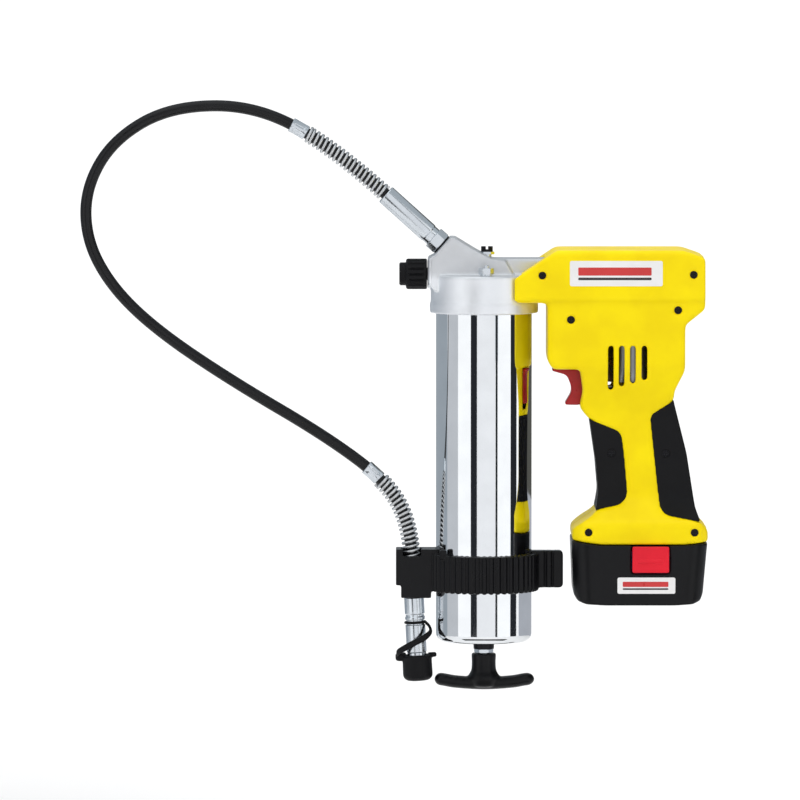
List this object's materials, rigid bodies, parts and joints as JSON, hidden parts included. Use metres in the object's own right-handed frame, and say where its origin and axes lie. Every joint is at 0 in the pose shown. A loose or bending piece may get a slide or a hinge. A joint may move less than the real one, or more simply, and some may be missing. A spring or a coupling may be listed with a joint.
{
  "type": "cordless grease gun",
  "caption": "Battery pistol grease gun: chrome barrel, pump head with looped hose and coupler, yellow housing with trigger and slide-off battery.",
  "frame": {"origin": "on the barrel's axis, halfway down the bare barrel between the hose clip and the pump head, where a rack clamps it", "axes": "+Z along the barrel to the pump head; +X from the barrel to the pistol housing; the housing splits on Y = 0, and -Y is the tool's left side"},
  "size_m": [0.4132, 0.0788, 0.39],
  "materials": {
    "cast_aluminium": "satin casting",
    "black_rubber": "matte",
    "chrome_tube": "polished",
    "zinc_steel": "zinc plated",
    "dark_steel": "blackened",
    "spring_steel": "bright drawn",
    "hose_rubber": "semi gloss",
    "black_plastic": "fine texture",
    "yellow_plastic": "moulded",
    "label_film": "printed film",
    "brass_bush": "turned",
    "motor_steel": "plated",
    "gear_steel": "hardened",
    "trigger_red": "moulded",
    "button_red": "moulded",
    "cell_jacket": "film wrapped"
  },
  "bodies": {
    "gun_body": {"pump_head": "cast_aluminium", "barrel_gasket": "black_rubber", "barrel_tube": "chrome_tube", "relief_valve_seat": "zinc_steel", "relief_valve_screw": "dark_steel", "bleed_valve": "zinc_steel", "outlet_seal": "black_rubber", "outlet_fitting": "zinc_steel", "hose_stem": "zinc_steel", "check_ball": "spring_steel", "check_spring": "spring_steel", "hose": "hose_rubber", "guard_upper": "spring_steel", "guard_lower": "spring_steel", "guard_sleeves": "zinc_steel", "hose_end_fitting": "zinc_steel", "coupler_body": "zinc_steel", "coupler_sleeve": "zinc_steel", "coupler_jaws": "spring_steel", "cap_strap": "black_rubber", "hose_clip": "black_rubber", "rod_bush": "black_plastic", "rod_nut": "zinc_steel", "follower_spring": "spring_steel", "housing_left": "yellow_plastic", "housing_right": "yellow_plastic", "housing_screws": "dark_steel", "grip_pads_left": "black_rubber", "grip_pads_right": "black_rubber", "label_housing": "label_film", "gearbox_case": "cast_aluminium", "gearbox_cover": "cast_aluminium", "crank_bearing": "brass_bush", "motor_can": "motor_steel", "trigger_pin": "spring_steel", "switch_body": "black_plastic", "terminal_block": "black_plastic"},
    "follower": {"follower_plate": "zinc_steel", "follower_cup": "black_rubber"},
    "rod": {"follower_rod": "zinc_steel", "rod_retainer": "zinc_steel", "t_handle": "black_plastic"},
    "bleed_button": {"bleed_pin": "zinc_steel"},
    "filler_plug": {"filler_cap": "black_plastic"},
    "coupler_cap": {"dust_cap": "black_rubber"},
    "crank": {"reduction_gear": "gear_steel", "crank_shaft": "gear_steel"},
    "rotor": {"motor_pinion": "brass_bush", "motor_armature": "motor_steel"},
    "plunger": {"pump_yoke": "gear_steel", "pump_plunger": "gear_steel"},
    "trigger": {"trigger": "trigger_red"},
    "battery": {"battery_case": "black_plastic", "battery_cover": "black_plastic", "battery_cells": "cell_jacket", "battery_contacts": "brass_bush", "label_battery": "label_film"},
    "latch_left": {"release_button_left": "button_red"},
    "latch_right": {"release_button_right": "button_red"}
  },
  "joints": [
    {"name": "follower_slide", "type": "slide", "parent": "gun_body", "child": "follower", "axis": [0, 0, -1], "range_m": [0, 0.168], "stiffness_N_per_m": 40, "springref_m": -0.12, "deforming": ["follower_spring"]},
    {"name": "rod_turn", "type": "hinge", "parent": "follower", "child": "rod", "pos_m": [0, 0, -0.15], "axis": [0, 0, -1], "continuous": true},
    {"name": "bleed_press", "type": "slide", "parent": "gun_body", "child": "bleed_button", "axis": [0, 0, -1], "range_m": [0, 0.0012], "stiffness_N_per_m": 300, "springref_m": -0.0006},
    {"name": "filler_cap_turn", "type": "hinge", "parent": "gun_body", "child": "filler_plug", "pos_m": [-0.045, 0, 0.1065], "axis": [-1, 0, 0], "continuous": true},
    {"name": "cap_pull", "type": "slide", "parent": "gun_body", "child": "coupler_cap", "axis": [0.0499, 0, -0.9988], "range_m": [0, 0.0104], "deforming": ["cap_strap"]},
    {"name": "crank_turn", "type": "hinge", "parent": "gun_body", "child": "crank", "pos_m": [0.073, 0, 0.09], "axis": [0, 0, 1], "continuous": true},
    {"name": "motor_turn", "type": "hinge", "parent": "gun_body", "child": "rotor", "pos_m": [0.0983, 0, 0.055], "axis": [0, 0, 1], "continuous": true},
    {"name": "plunger_stroke", "type": "slide", "parent": "gun_body", "child": "plunger", "axis": [1, 0, 0], "range_m": [-0.006, 0.006]},
    {"name": "trigger_pull", "type": "hinge", "parent": "gun_body", "child": "trigger", "pos_m": [0.068, 0, 0.0415], "axis": [0, -1, 0], "range_deg": [0, 9], "stiffness_Nm_per_rad": 0.5, "springref_deg": -6.88},
    {"name": "battery_slide", "type": "slide", "parent": "gun_body", "child": "battery", "axis": [0, 0, -1], "range_m": [0, 0.04]},
    {"name": "button_press_left", "type": "slide", "parent": "battery", "child": "latch_left", "axis": [0, 1, 0], "range_m": [0, 0.002], "stiffness_N_per_m": 400, "springref_m": -0.001},
    {"name": "button_press_right", "type": "slide", "parent": "battery", "child": "latch_right", "axis": [0, -1, 0], "range_m": [0, 0.002], "stiffness_N_per_m": 400, "springref_m": -0.001}
  ],
  "couplings": [
    {"joint": "motor_turn", "follows": "crank_turn", "ratio": -4}
  ]
}
